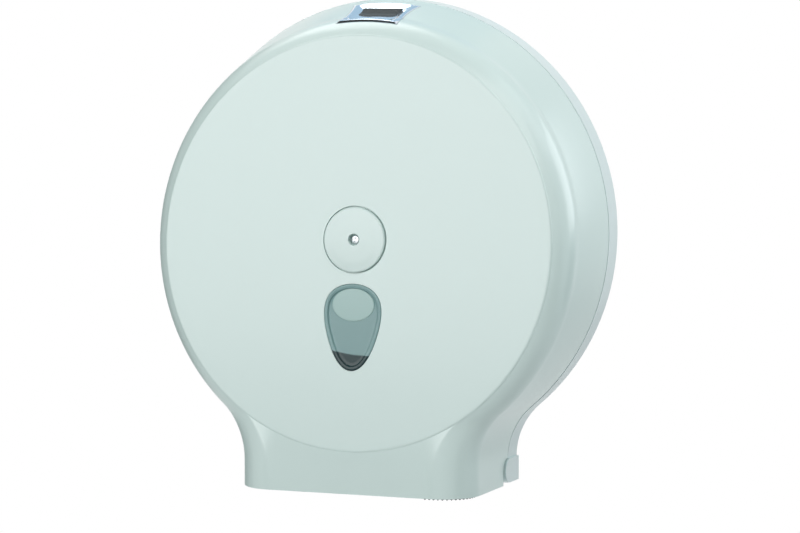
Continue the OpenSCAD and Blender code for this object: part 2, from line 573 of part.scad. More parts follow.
// 1 at every other point where the comb has teeth, which is round the right front corner only
function tooth_at(i, s) =
  s < tooth_start || s > neck_w - corner_r + (corner_r - comb_in) * PI / 2 ? 0 : i % 2;
module tear_comb() color(charcoal) {
  reach = neck_w - corner_r + (corner_r - comb_in) * PI / 2 + comb_side;
  teeth = round(reach / tooth_pitch);
  n = 4 * teeth;
  top = -base_z + 12;
  points = [for (i = [-n / 2 : n / 2], t = [comb_in, comb_in + comb_t])
    let (p = comb_path(reach * i / (n / 2), t)) each [[p[0], p[1], top],
      [p[0], p[1], -base_z - tooth_drop * tooth_at(i, reach * i / (n / 2))]]];
  faces = concat([[0, 1, 3, 2]], [[4 * n, 4 * n + 2, 4 * n + 3, 4 * n + 1]],
    [for (i = [0 : n - 1]) let (b = 4 * i) each [
      [b, b + 4, b + 1], [b + 1, b + 4, b + 5], [b + 2, b + 3, b + 6], [b + 3, b + 7, b + 6],
      [b, b + 2, b + 4], [b + 2, b + 6, b + 4], [b + 1, b + 5, b + 3], [b + 3, b + 5, b + 7]]]);
  difference() {
    polyhedron(points, faces, convexity = 10);
    for (x = comb_screw_x) translate([x, 0, -base_z + 7.5]) rod_y(1.6, -apron_d, -apron_d + 8);
  }
}
comb_screw_x = [-50, -17, 17, 50];
module comb_screws() color(steel) for (x = comb_screw_x)
  translate([x, -apron_d + comb_in + comb_t, -base_z + 7.5]) rotate([-90, 0, 0]) pan_screw(2.8, 1.6, 1.3, 3.3);

back_plate();
striker();
striker_screws();
hinge_pins();
spindle_post();
spindle_screws();
spindle_clip();
hub_washer();
roll_hub();
core_sleeve();
cover_shell();
window();
window_retainer();
retainer_screws();
centre_cap();
cap_screw();
roll_guide();
latch_bezel();
latch_housing();
latch_screws();
latch_button();
latch_spring();
tear_comb();
comb_screws();
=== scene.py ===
"""Looks of the round wall dispenser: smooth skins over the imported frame, finishes, light and camera."""
import json
import logging
import math
from dataclasses import dataclass, field
from enum import Enum
from typing import Callable, Optional

import bpy
import numpy as np
from mathutils import Matrix, Vector


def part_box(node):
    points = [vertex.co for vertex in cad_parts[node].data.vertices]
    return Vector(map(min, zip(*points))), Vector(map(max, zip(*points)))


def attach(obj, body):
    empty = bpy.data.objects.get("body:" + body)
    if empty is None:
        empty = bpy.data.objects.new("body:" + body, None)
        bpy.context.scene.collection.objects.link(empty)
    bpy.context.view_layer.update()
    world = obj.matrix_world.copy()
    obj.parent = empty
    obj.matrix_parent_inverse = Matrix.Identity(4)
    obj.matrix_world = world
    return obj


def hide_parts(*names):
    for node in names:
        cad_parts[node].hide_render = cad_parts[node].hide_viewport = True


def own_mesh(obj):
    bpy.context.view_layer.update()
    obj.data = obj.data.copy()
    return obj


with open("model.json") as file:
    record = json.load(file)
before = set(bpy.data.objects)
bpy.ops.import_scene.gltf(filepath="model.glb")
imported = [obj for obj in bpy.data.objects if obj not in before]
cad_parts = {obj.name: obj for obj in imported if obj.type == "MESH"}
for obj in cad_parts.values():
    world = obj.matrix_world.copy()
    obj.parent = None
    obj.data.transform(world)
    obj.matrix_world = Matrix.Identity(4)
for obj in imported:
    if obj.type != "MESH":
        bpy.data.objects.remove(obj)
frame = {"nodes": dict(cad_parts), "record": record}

log = logging.getLogger("dispenser")
MM = 0.001
Array = np.ndarray


def mix(a: Array, b: Array, t: Array) -> Array:
    """Blends two values: the first plus a share of the difference.

    Args:
        a: Value at t = 0.
        b: Value at t = 1.
        t: Share of b.

    Returns:
        The blended value.
    """
    return a + (b - a) * t


def smooth(t: Array) -> Array:
    """Eases a share with zero slope at both ends: three times its square less twice its cube.

    Args:
        t: Share from 0 to 1.

    Returns:
        The eased share.
    """
    t = np.clip(t, 0.0, 1.0)
    return t * t * (3.0 - 2.0 * t)


@dataclass(frozen=True)
class Form:
    """Driving sizes of the body in millimetres, the same as in the CAD source."""

    drum_r: float = 161.5
    rim_rise: float = 3.0
    disc_r: float = 143.0
    disc_drop: float = 2.7
    face_d: float = 89.0
    tilt: float = 4.8
    shoulder_d: float = 20.0
    shoulder_r: float = 11.5
    wall: float = 2.8
    neck_w: float = 87.3
    neck_fillet: float = 50.0
    base_z: float = 175.7
    apron_d: float = 101.6
    corner_r: float = 26.0
    rim_d: float = 19.0
    pin_z: float = 165.5
    pin_d: float = 18.5
    ear_r: float = 8.5
    egg_w: float = 21.4
    egg_h: float = 30.2
    egg_z: float = 60.6
    egg_k: float = 0.32
    egg_slim: float = 0.945
    oval_w: float = 15.5
    cap_r: float = 22.6
    bezel_w: float = 23.3
    bezel_flare: float = 0.06
    bezel_waist: float = 0.09
    bezel_r: float = 158.0
    slot_w: float = 14.2
    gap: float = 0.3
    crease: float = 1.0
    bottom_c: float = 0.6
    rise_end: float = 30.0
    shoulder_share: float = 0.32
    side_flare: float = 0.3
    seam_step: float = 0.3
    bezel_s0: float = 0.16
    bezel_s1: float = 0.83
    slot_y0: float = -47.0
    slot_y1: float = -33.0

    def face_y(self, z: Array) -> Array:
        """Gives the depth of the leaning front disc, which changes with height by the tilt's tangent.

        Args:
            z: Height.

        Returns:
            Y of the disc at that height.
        """
        return -self.face_d + math.tan(math.radians(self.tilt)) * z

    def shoulder_back(self, a: Array) -> Array:
        """Gives how far the shoulder has gone back: a share of the cosine from rise_end to 90 degrees.

        Args:
            a: Angle in degrees, 0 at the crease and 90 at the shoulder's rear.

        Returns:
            Distance behind the crease.
        """
        full = np.radians(self.rise_end + (90 - self.rise_end) * a / 90)
        start = math.cos(math.radians(self.rise_end))
        return self.shoulder_d * (start - np.cos(full)) / start

    def shoulder_out(self, a: Array) -> Array:
        """Gives the drum's radius over the shoulder: a share of the sine from rise_end to 90 degrees.

        Args:
            a: Angle in degrees, 0 at the crease and 90 at the shoulder's rear.

        Returns:
            The radius.
        """
        full = np.radians(self.rise_end + (90 - self.rise_end) * a / 90)
        start = math.sin(math.radians(self.rise_end))
        return self.disc_r + self.crease + self.shoulder_r * (np.sin(full) - start) / (1 - start)

    def side_r(self, s: Array) -> Array:
        """Gives the drum's radius behind the shoulder.

        It is blended by the share s plus side_flare times the difference of s and its square.

        Args:
            s: Share from the shoulder (0) to the seam (1).

        Returns:
            The radius.
        """
        share = s * (1 + self.side_flare - self.side_flare * s)
        return mix(self.shoulder_out(90.0), self.drum_r - self.seam_step, share)

    def drum_point(self, s: Array, a: Array, lift: Array) -> Array:
        """Places points on the upper drum: a circle of the local radius about the local centre height.

        Args:
            s: Share from the crease (0) to the seam (1).
            a: Angle off the top in radians.
            lift: Height over the skin.

        Returns:
            Points with a last axis of x, y, z.
        """
        share = self.shoulder_share
        q = np.clip(s / share, 0, 1)
        t = np.clip((s - share) / (1 - share), 0, 1)
        r = np.where(s < share, self.shoulder_out(90 * q), self.side_r(t)) + lift
        z = mix(-self.disc_drop, self.rim_rise, t) + r * np.cos(a)
        front = self.face_y(z) + self.crease
        y = np.where(s < share, front + self.shoulder_back(90 * q),
                     mix(front + self.shoulder_d, -self.rim_d - self.gap, t))
        return np.stack(np.broadcast_arrays(r * np.sin(a), y, z), -1)

    def bezel_half(self, s: Array, grow: float = 0.0) -> Array:
        """Gives the bezel's half width as an angle: flared to the rear, with a middle narrowed by a sine.

        Args:
            s: Share from the crease to the seam.
            grow: Extra half width.

        Returns:
            The angle in radians.
        """
        v = (s - self.bezel_s0) / (self.bezel_s1 - self.bezel_s0)
        width = self.bezel_w * (1 + self.bezel_flare * v - self.bezel_waist * np.sin(np.pi * v))
        return np.arcsin((width + grow) / self.bezel_r)

    def egg(self, grow: Array, n: int) -> Array:
        """Draws the window's egg: an ellipse whose width grows with k c + k/2 c squared, c the cosine.

        Args:
            grow: Offset outwards.
            n: Number of points.

        Returns:
            Points with a last axis of x, y on the face.
        """
        a = np.linspace(0, 2 * np.pi, n, endpoint=False)
        c = np.cos(a)
        k = self.egg_k * c + self.egg_k / 2 * c * c
        half = self.egg_w * self.egg_slim * (1 + k)
        return np.stack([(half + grow) * np.sin(a), (self.egg_h + grow) * c], -1)

    def on_face(self, p: Array) -> Array:
        """Moves points from the leaning disc's own axes into the row frame: a turn about X, then a shift.

        Args:
            p: Points with x right, y up the face and z outwards.

        Returns:
            The same points in the row frame.
        """
        t = math.radians(90 - self.tilt)
        turn = np.array([[1, 0, 0], [0, math.cos(t), -math.sin(t)], [0, math.sin(t), math.cos(t)]])
        return p @ turn.T + np.array([0, -self.face_d, 0])


FORM = Form()


@dataclass
class Loops:
    """A closed surface made of loops with the same number of points."""

    rings: list[Array] = field(default_factory=list)

    def mesh(self, close: bool = True, caps: tuple[bool, bool] = (False, False)) -> tuple[Array, list]:
        """Joins the loops.

        Args:
            close: Joins the last loop to the first.
            caps: Fills the first and last loop with one polygon each.

        Returns:
            The vertices, and the faces as lists of vertex numbers.
        """
        points = np.concatenate(self.rings)
        n, m = len(self.rings[0]), len(self.rings)
        i = np.arange(n)
        k = np.arange(m if close else m - 1)[:, None]
        a, b = k * n + i, k * n + (i + 1) % n
        c, d = ((k + 1) % m) * n + (i + 1) % n, ((k + 1) % m) * n + i
        faces = np.stack([a, b, c, d], -1).reshape(-1, 4).tolist()
        if caps[0]:
            faces.append(i[::-1].tolist())
        if caps[1]:
            faces.append((i + (m - 1) * n).tolist())
        return points, faces


def make_object(name: str, points: Array, faces: list, sharp: Optional[float] = 30.0) -> bpy.types.Object:
    """Makes a mesh object from points in millimetres.

    Args:
        name: Object name.
        points: Vertices.
        faces: Vertex numbers of each face.
        sharp: Angle in degrees above which an edge is sharp, or None for flat shading.

    Returns:
        The linked object.
    """
    mesh = bpy.data.meshes.new(name)
    mesh.from_pydata((np.asarray(points) * MM).tolist(), [], faces)
    mesh.validate()
    shade(mesh, sharp)
    obj = bpy.data.objects.new(name, mesh)
    bpy.context.scene.collection.objects.link(obj)
    return obj


def shade(mesh: bpy.types.Mesh, sharp: Optional[float]) -> None:
    """Sets smooth shading with sharp edges by angle.

    Args:
        mesh: The mesh.
        sharp: Angle in degrees, or None for flat shading.
    """
    mesh.polygons.foreach_set("use_smooth", np.full(len(mesh.polygons), sharp is not None))
    if sharp is not None:
        mesh.set_sharp_from_angle(angle=math.radians(sharp))
    mesh.update()


def prism(outline: Array, low: float, high: float, place: Callable[[Array], Array]) -> tuple[Array, list]:
    """Extrudes a plane outline.

    Args:
        outline: Points with a last axis of two.
        low: Start of the extrusion.
        high: End of the extrusion.
        place: Moves points with the extrusion as their third axis into the row frame.

    Returns:
        The vertices and faces.
    """
    rings = [place(np.column_stack([outline, np.full(len(outline), h)])) for h in (low, high)]
    return Loops(rings).mesh(close=False, caps=(True, True))


def upright(p: Array) -> Array:
    """Leaves a plan as it is, so that it is extruded upwards.

    Args:
        p: Points of x, y and the extrusion.

    Returns:
        The same points.
    """
    return p


def sideways(p: Array) -> Array:
    """Stands an outline of depth and height up, so that it is extruded across.

    Args:
        p: Points of depth, height and the extrusion.

    Returns:
        Points in the row frame.
    """
    return p[:, [2, 0, 1]]


def square(half: float, level: float = 0.0) -> Array:
    """Draws a level square about the middle.

    Args:
        half: Half of its side.
        level: Its height.

    Returns:
        The four corners.
    """
    return np.array([[-1, -1, 0], [1, -1, 0], [1, 1, 0], [-1, 1, 0]]) * half + [0, 0, level]


def disc_outline(r: float, n: int = 96, centre: tuple[float, float] = (0.0, 0.0)) -> Array:
    """Draws a circle.

    Args:
        r: Radius.
        n: Number of points.
        centre: Its middle.

    Returns:
        The points.
    """
    a = np.linspace(0, 2 * np.pi, n, endpoint=False)
    return np.stack([centre[0] + r * np.cos(a), centre[1] + r * np.sin(a)], -1)


def carve(obj: bpy.types.Object, cutters: list[tuple[Array, list]], sharp: float) -> bpy.types.Object:
    """Cuts solids out of an object and bakes the result into its mesh.

    Args:
        obj: The object to cut.
        cutters: Vertices and faces of each cutter.
        sharp: Angle in degrees above which an edge is sharp.

    Returns:
        The same object.
    """
    made = []
    for k, (points, faces) in enumerate(cutters):
        tool = make_object(f"cutter_{k}", points, faces)
        recalc(tool.data)
        mod = obj.modifiers.new(f"cut_{k}", "BOOLEAN")
        mod.operation, mod.solver, mod.object = "DIFFERENCE", "MANIFOLD", tool
        made.append(tool)
    bpy.context.view_layer.update()
    mesh = bpy.data.meshes.new_from_object(obj.evaluated_get(bpy.context.evaluated_depsgraph_get()))
    obj.modifiers.clear()
    obj.data = mesh
    mesh.name = obj.name
    for tool in made:
        bpy.data.objects.remove(tool)
    shade(mesh, sharp)
    return obj


def recalc(mesh: bpy.types.Mesh) -> None:
    """Turns the faces of a closed mesh outwards, told by the sign of its volume.

    Args:
        mesh: The mesh.
    """
    count = len(mesh.vertices)
    co = np.empty(count * 3, np.float32)
    mesh.vertices.foreach_get("co", co)
    mesh.calc_loop_triangles()
    tri = np.empty(len(mesh.loop_triangles) * 3, np.int32)
    mesh.loop_triangles.foreach_get("vertices", tri)
    p = co.reshape(-1, 3)[tri.reshape(-1, 3)].astype(float)
    volume = np.einsum("ij,ij->i", p[:, 0], np.cross(p[:, 1], p[:, 2])).sum()
    if volume < 0:
        mesh.flip_normals()


class FinishKind(Enum):
    """How light meets a surface."""

    PLASTIC = "plastic"
    METAL = "metal"
    SMOKE = "smoke"


@dataclass(frozen=True)
class Finish:
    """One finish of the object."""

    name: str
    kind: FinishKind
    colour: tuple[float, float, float]
    roughness: float
    grain: float = 0.02
    coat: float = 0.0
    coat_roughness: float = 0.12

    def build(self) -> bpy.types.Material:
        """Makes the material.

        Returns:
            The Blender material.
        """
        material = bpy.data.materials.new(self.name)
        material.use_nodes = True
        tree = material.node_tree
        shader = tree.nodes["Principled BSDF"]
        coords = tree.nodes.new("ShaderNodeTexCoord")
        wear = tree.nodes.new("ShaderNodeGroup")
        wear.node_tree = SurfaceGrain().group()
        tree.links.new(coords.outputs["Object"], wear.inputs["Vector"])
        wear.inputs["Colour"].default_value = (*linear(self.colour), 1.0)
        wear.inputs["Roughness"].default_value = self.roughness
        wear.inputs["Grain"].default_value = self.grain
        tree.links.new(wear.outputs["Colour"], shader.inputs["Base Color"])
        tree.links.new(wear.outputs["Roughness"], shader.inputs["Roughness"])
        shader.inputs["Coat Weight"].default_value = self.coat
        shader.inputs["Coat Roughness"].default_value = self.coat_roughness
        if self.kind is FinishKind.METAL:
            shader.inputs["Metallic"].default_value = 1.0
        if self.kind is FinishKind.SMOKE:
            # The lens's base colour is painted: pale about the centre, with painted shade beyond a shallow
            # arc for the shadowed inside behind it.
            lens_shade = LensPaintedShade()
            lens = tree.nodes.new("ShaderNodeGroup")
            lens.node_tree = lens_shade.group()
            lens.inputs["Pale"].default_value = (*linear(self.colour), 1.0)
            tree.links.new(coords.outputs["Object"], lens.inputs["Vector"])
            tree.links.new(lens.outputs["Colour"], shader.inputs["Base Color"])
            shader.inputs["Transmission Weight"].default_value = lens_shade.transmission
            shader.inputs["IOR"].default_value = lens_shade.ior
            shader.inputs["Specular IOR Level"].default_value = lens_shade.specular
        return material


def linear(rgb: tuple[float, float, float]) -> tuple[float, ...]:
    """Turns a display colour into linear light: a straight line when dark, above it a power of 2.4.

    Args:
        rgb: Display values from 0 to 1.

    Returns:
        Linear values.
    """
    v = np.asarray(rgb, float)
    return tuple(np.where(v <= 0.04045, v / 12.92, ((v + 0.055) / 1.055) ** 2.4).tolist())


def socket(tree: bpy.types.NodeTree, name: str, kind: str, out: bool = False) -> None:
    """Adds a socket to a node group.

    Args:
        tree: The group.
        name: Socket name.
        kind: Socket type without its prefix.
        out: True for an output.
    """
    side = "OUTPUT" if out else "INPUT"
    tree.interface.new_socket(name=name, in_out=side, socket_type="NodeSocket" + kind)


def math_node(tree: bpy.types.NodeTree, operation: str, *values: float) -> bpy.types.Node:
    """Adds a math node.

    Args:
        tree: The node tree.
        operation: What it works out.
        values: Plain values of its second input and those after it.

    Returns:
        The node.
    """
    node = tree.nodes.new("ShaderNodeMath")
    node.operation = operation
    for k, value in enumerate(values, 1):
        node.inputs[k].default_value = value
    return node


@dataclass(frozen=True)
class SurfaceGrain:
    """The faint unevenness of moulded and plated surfaces, which all finishes share."""

    scale: float = 22.0
    detail: float = 3.0
    middle: float = 0.5
    tint: float = 0.5

    def group(self) -> bpy.types.NodeTree:
        """Finds or makes the shared group.

        Noise about zero times the grain is added to the roughness, and a share of it scales the colour.

        Returns:
            The node group.
        """
        found = bpy.data.node_groups.get("surface_grain")
        if found:
            return found
        tree = bpy.data.node_groups.new("surface_grain", "ShaderNodeTree")
        inputs = {"Vector": "Vector", "Colour": "Color", "Roughness": "Float", "Grain": "Float"}
        for name, kind in inputs.items():
            socket(tree, name, kind)
        socket(tree, "Colour", "Color", out=True)
        socket(tree, "Roughness", "Float", out=True)
        inp, out = tree.nodes.new("NodeGroupInput"), tree.nodes.new("NodeGroupOutput")
        noise = tree.nodes.new("ShaderNodeTexNoise")
        noise.inputs["Scale"].default_value = self.scale
        noise.inputs["Detail"].default_value = self.detail
        centre = math_node(tree, "SUBTRACT", self.middle)
        amount = math_node(tree, "MULTIPLY")
        rough = math_node(tree, "ADD")
        gain = math_node(tree, "MULTIPLY_ADD", self.tint, 1.0)
        tint = tree.nodes.new("ShaderNodeVectorMath")
        tint.operation = "SCALE"
        link = tree.links.new
        link(inp.outputs["Vector"], noise.inputs["Vector"])
        link(noise.outputs["Fac"], centre.inputs[0])
        link(centre.outputs[0], amount.inputs[0])
        link(inp.outputs["Grain"], amount.inputs[1])
        link(amount.outputs[0], rough.inputs[1])
        link(inp.outputs["Roughness"], rough.inputs[0])
        link(amount.outputs[0], gain.inputs[0])
        link(inp.outputs["Colour"], tint.inputs[0])
        link(gain.outputs[0], tint.inputs["Scale"])
        link(tint.outputs[0], out.inputs["Colour"])
        link(rough.outputs[0], out.inputs["Roughness"])
        return tree


@dataclass(frozen=True)
class LensPaintedShade:
    """Painted colour of the smoked lens: its own pale tint about the centre, and painted shade beyond a
    shallow arc, which stands in for the shadowed inside behind the lens. Lengths are metres.
    """

    centre: tuple[float, float, float] = (0.008, 0.0, 0.005)
    reach: float = 0.0842
    edge: float = 0.0008
    dark: tuple[float, float, float] = (0.13, 0.25, 0.26)
    transmission: float = 0.15
    ior: float = 1.5
    specular: float = 0.2

    def group(self) -> bpy.types.NodeTree:
        """Makes the window's group: pale within a distance of the centre, painted shade beyond it.

        Returns:
            The node group.
        """
        tree = bpy.data.node_groups.new("lens_painted_shade", "ShaderNodeTree")
        socket(tree, "Vector", "Vector")
        socket(tree, "Pale", "Color")
        socket(tree, "Colour", "Color", out=True)
        inp, out = tree.nodes.new("NodeGroupInput"), tree.nodes.new("NodeGroupOutput")
        split = tree.nodes.new("ShaderNodeSeparateXYZ")
        flat = tree.nodes.new("ShaderNodeCombineXYZ")
        far = tree.nodes.new("ShaderNodeVectorMath")
        far.operation = "DISTANCE"
        far.inputs[1].default_value = self.centre
        edge = tree.nodes.new("ShaderNodeMapRange")
        edge.inputs["From Min"].default_value = self.reach
        edge.inputs["From Max"].default_value = self.reach + self.edge
        colour = tree.nodes.new("ShaderNodeMix")
        colour.data_type = "RGBA"
        # Painted shade: this dark colour beyond the arc stands in for the shadowed inside behind the lens.
        colour.inputs["B"].default_value = (*linear(self.dark), 1)
        link = tree.links.new
        link(inp.outputs["Vector"], split.inputs[0])
        link(split.outputs["X"], flat.inputs["X"])
        link(split.outputs["Z"], flat.inputs["Z"])
        link(flat.outputs[0], far.inputs[0])
        link(far.outputs["Value"], edge.inputs["Value"])
        link(edge.outputs["Result"], colour.inputs["Factor"])
        link(inp.outputs["Pale"], colour.inputs["A"])
        link(colour.outputs["Result"], out.inputs["Colour"])
        return tree


COVER = Finish("cover_gloss", FinishKind.PLASTIC, (0.855, 0.93, 0.915), 0.3, 0.02, 0.2)
PLATE = Finish("plate_gloss", FinishKind.PLASTIC, (0.85, 0.915, 0.915), 0.34, 0.02, 0.3)
INNER = Finish("inner_plain", FinishKind.PLASTIC, (0.84, 0.88, 0.87), 0.5, 0.03)
SMOKED = Finish("smoked_lens", FinishKind.SMOKE, (0.57, 0.71, 0.71), 0.16, 0.01)
FROSTED = Finish("frosted_oval", FinishKind.PLASTIC, (0.67, 0.79, 0.775), 0.35, 0.02)
# Real chrome whose blue tint is partly painted reflection: it carries part of the blue reflected in the
# bezel's dish.
CHROME_AND_BLUE_SHEEN = Finish("bright_chrome", FinishKind.METAL, (0.82, 0.9, 0.965), 0.07, 0.01)
DARK = Finish("charcoal_plain", FinishKind.PLASTIC, (0.16, 0.2, 0.21), 0.42, 0.04)
NYLON = Finish("nylon_natural", FinishKind.PLASTIC, (0.88, 0.88, 0.85), 0.45, 0.03)
STEEL = Finish("zinc_steel", FinishKind.METAL, (0.68, 0.7, 0.72), 0.3, 0.05)


@dataclass
class Cover:
    """The front cover's moulded skin with its openings.

    The whole numbers count loops or points along each stretch. A pair in edge or inner_edge is a radial
    offset and a depth behind the disc, apron holds shares between disc and shoulder, and a span is both
    ends of a cut. Lengths are millimetres.
    """

    form: Form = FORM
    arc: int = 120
    fillet: int = 16
    corner: int = 6
    bottom: int = 24
    shoulder: int = 18
    side: int = 14
    inner_shoulder: int = 7
    inner_side: int = 4
    turn_steps: int = 25
    round_steps: int = 144
    top_steps: int = 41
    edge: tuple[tuple[float, float], ...] = (
        (0.85, 0.62), (0.45, 0.3), (0.1, 0.12), (-0.3, 0.02), (-0.7, 0.0), (-1.4, 0.0))
    inner_edge: tuple[tuple[float, float], ...] = ((0.0, 0.0), (0.8, 0.5))
    apron: tuple[float, ...] = (0.8, 0.6, 0.4, 0.2, 0.08)
    least_corner: float = 0.3
    mouth_span: tuple[float, float] = (-10.0, 4.0)
    mouth_rear: float = 100.0
    ear_gap: float = 0.6
    ear_inset: float = 12.6
    ear_below: float = 20.0
    ear_rear: float = 45.0
    side_room: float = 32.7
    top_span: tuple[float, float] = (130.0, 185.0)
    cap_gap: float = 0.9
    cap_depth: float = 2.1
    boss_hole: float = 6.3
    boss_span: tuple[float, float] = (-22.0, 5.0)
    beyond: float = 12.0

    def outline(self, r: Array, zc: Array, w: Array, f: float, zb: float, c: float) -> Array:
        """Draws the body's outline for each station.

        The right half is a drum arc, a concave fillet tangent to it, a straight side, a small corner and
        the bottom line. The fillet's centre lies r + f from the drum's centre and w + f from the middle.

        Args:
            r: Drum radius, one per station.
            zc: Height of the drum's centre.
            w: Half width of the neck.
            f: Radius of the concave fillet.
            zb: Height of the bottom line.
            c: Radius of the bottom corners.

        Returns:
            Loops with a last axis of x, z and the share of the neck.
        """
        r, zc, w = (np.asarray(v, float).reshape(-1, 1) for v in (r, zc, w))
        fz = zc - np.sqrt((r + f) ** 2 - (w + f) ** 2)
        ta = np.arctan2(fz - zc, w + f)
        u = np.linspace(0, 1, self.arc + 1)
        a = np.pi / 2 - (np.pi / 2 - ta) * u
        arc = [r * np.cos(a), zc + r * np.sin(a), 0 * a]
        u = np.arange(1, self.fillet + 1) / self.fillet
        a = np.pi + ta * (1 - u)
        fillet = [w + f + f * np.cos(a), fz + f * np.sin(a), smooth(u) + 0 * a]
        u = np.arange(self.corner + 1) / self.corner
        a = -np.pi / 2 * u + 0 * w
        corner = [w - c + c * np.cos(a), zb + c + c * np.sin(a), 1 + 0 * a]
        u = np.arange(1, self.bottom + 1) / self.bottom
        base = [(w - c) * (1 - u), zb + 0 * u * w, 1 + 0 * u * w]
        half = np.concatenate([np.stack(part, -1) for part in (arc, fillet, corner, base)], 1)
        return self.mirrored(half)

    @staticmethod
    def mirrored(half: Array) -> Array:
        """Adds the left half to loops that run from the top to the bottom centre.

        Args:
            half: Right halves, with x first on the last axis.

        Returns:
            The closed loops.
        """
        left = half[:, -2:0:-1] * np.array([-1.0] + [1.0] * (half.shape[-1] - 1))
        return np.concatenate([half, left], 1)

    def front_rings(self, a: Array, t: float) -> Array:
        """Makes the loops over the shoulder and the neck's front corners.

        The drum's depth leans with the disc and goes back by shoulder_back. The neck's depth is a quarter
        circle of the corner's radius. The neck's share of each point blends the two.

        Args:
            a: Shoulder angles in degrees.
            t: Distance inside the outer skin.

        Returns:
            Loops of points in the row frame.
        """
        f, a = self.form, np.asarray(a, float)
        turn = np.radians(a)
        corner = f.corner_r - t
        w = f.neck_w - t - corner * (1 - np.sin(turn))
        h = self.outline(f.shoulder_out(a) - t, 0 * a - f.disc_drop, w, f.neck_fillet + t, -f.base_z + t,
                         max(self.least_corner, f.bottom_c - t))
        drum = f.face_y(h[..., 1]) + f.crease + f.shoulder_back(a)[:, None]
        neck = (-f.apron_d + corner * (1 - np.cos(turn)))[:, None]
        return np.stack([h[..., 0], t + mix(drum, neck, h[..., 2]), h[..., 1]], -1)

    def side_rings(self, s: Array, t: float) -> Array:
        """Makes the loops between the shoulder and the seam, at even steps of depth.

        Args:
            s: Shares from the shoulder to the seam.
            t: Distance inside the outer skin.

        Returns:
            Loops of points in the row frame.
        """
        f, s = self.form, np.asarray(s, float)
        h = self.outline(f.side_r(s) - t, mix(-f.disc_drop, f.rim_rise, s), 0 * s + f.neck_w - t,
                         f.neck_fillet + t, -f.base_z + t, max(self.least_corner, f.bottom_c - t))
        front = self.front_rings(np.array([90.0]), t)[0, :, 1]
        y = mix(front[None], -f.rim_d - f.gap, s[:, None])
        return np.stack([h[..., 0], y, h[..., 1]], -1)

    def disc_rings(self, steps: tuple[tuple[float, float], ...], t: float) -> Array:
        """Makes the loops of the disc's edge: circles on the leaning face.

        Args:
            steps: Radial offset and depth behind the disc, for each loop.
            t: Distance inside the outer skin.

        Returns:
            Loops of points in the row frame.
        """
        f = self.form
        r, w = float(f.shoulder_out(0.0)) - t, f.neck_w - f.corner_r
        fz = -math.sqrt((r + f.neck_fillet + t) ** 2 - (w + f.neck_fillet + t) ** 2)
        ta = math.atan2(fz, w + f.neck_fillet + t)
        n = self.fillet + self.corner + 1 + self.bottom
        a = np.concatenate([np.linspace(np.pi / 2, ta, self.arc + 1),
                            mix(ta, -np.pi / 2, np.arange(1, n + 1) / n)])
        out, back = (np.array(v)[:, None] for v in zip(*steps))
        x, z = (f.disc_r - t + out) * np.cos(a), (f.disc_r - t + out) * np.sin(a) - f.disc_drop
        face = f.face_y(z)
        return self.mirrored(np.stack([x, face + back + t, z], -1))

    def skin(self) -> tuple[Array, list]:
        """Lofts the outer and inner skins into one closed form, with a flat disc in front and behind.

        Returns:
            Vertices and faces.
        """
        f = self.form
        seam = self.side_rings(np.linspace(1, 0, self.side, endpoint=False), 0.0)
        front = self.front_rings(np.linspace(90, 0, self.shoulder), 0.0)
        edge = self.disc_rings(self.edge, 0.0)
        apron = [mix(edge[0], front[-1], share) for share in self.apron]
        inner = [*self.disc_rings(self.inner_edge, f.wall),
                 *self.front_rings(np.linspace(0, 90, self.inner_shoulder), f.wall),
                 *self.side_rings(np.arange(1, self.inner_side + 1) / self.inner_side, f.wall)]
        rings = [*seam, *front, *apron, *edge]
        points, faces = Loops([*rings, *inner]).mesh()
        n = len(inner[0])
        cut = (len(rings) - 1) * n
        faces = faces[:cut] + faces[cut + n:]
        first, second = list(range(cut, cut + n)), list(range(cut + n, cut + 2 * n))
        faces += [first, second[::-1]]
        return points, faces

    def mouth(self) -> tuple[Array, list]:
        """Makes the solid that opens the neck: the neck's plan, set in by the wall and a gap.

        Returns:
            Its vertices and faces.
        """
        f = self.form
        inset = f.wall + f.gap
        x, r = f.neck_w - inset, f.corner_r - inset
        a = np.radians(np.linspace(180, 270, self.turn_steps))
        left = np.stack([-x + r + r * np.cos(a), -f.apron_d + inset + r + r * np.sin(a)], -1)
        plan = np.concatenate([[[-x, self.mouth_rear]], left, left[::-1] * [-1, 1], [[x, self.mouth_rear]]])
        low, high = self.mouth_span
        return prism(plan, low - f.base_z, high - f.base_z, upright)

    def ear_notches(self) -> list[tuple[Array, list]]:
        """Makes the solids that clear the hinge ears: a quarter circle about each pin, open to the rear.

        Returns:
            Their vertices and faces.
        """
        f = self.form
        clear, foot = f.ear_r + self.ear_gap, -f.base_z - self.ear_below
        a = np.radians(np.linspace(180, 90, self.turn_steps))
        turn = np.stack([-f.pin_d + clear * np.cos(a), -f.pin_z + clear * np.sin(a)], -1)
        rear = [[self.ear_rear, -f.pin_z + clear], [self.ear_rear, foot]]
        notch = np.concatenate([[[-f.pin_d - clear, foot]], turn, rear])
        low, high = f.neck_w - self.ear_inset, f.neck_w + self.side_room
        return [prism(notch, low, high, sideways), prism(notch, -high, -low, sideways)]

    def bezel_hole(self) -> tuple[Array, list]:
        """Makes the solid that opens the top: the bezel's plan, grown by a gap.

        Returns:
            Its vertices and faces.
        """
        f = self.form
        s = mix(f.bezel_s0, f.bezel_s1, np.linspace(0, 1, self.top_steps))
        plan = f.drum_point(s, f.bezel_half(s, f.gap), 0.0)[:, :2]
        plan[0, 1] -= f.gap
        plan[-1, 1] += f.gap
        return prism(np.concatenate([plan, plan[::-1] * [-1, 1]]), *self.top_span, upright)

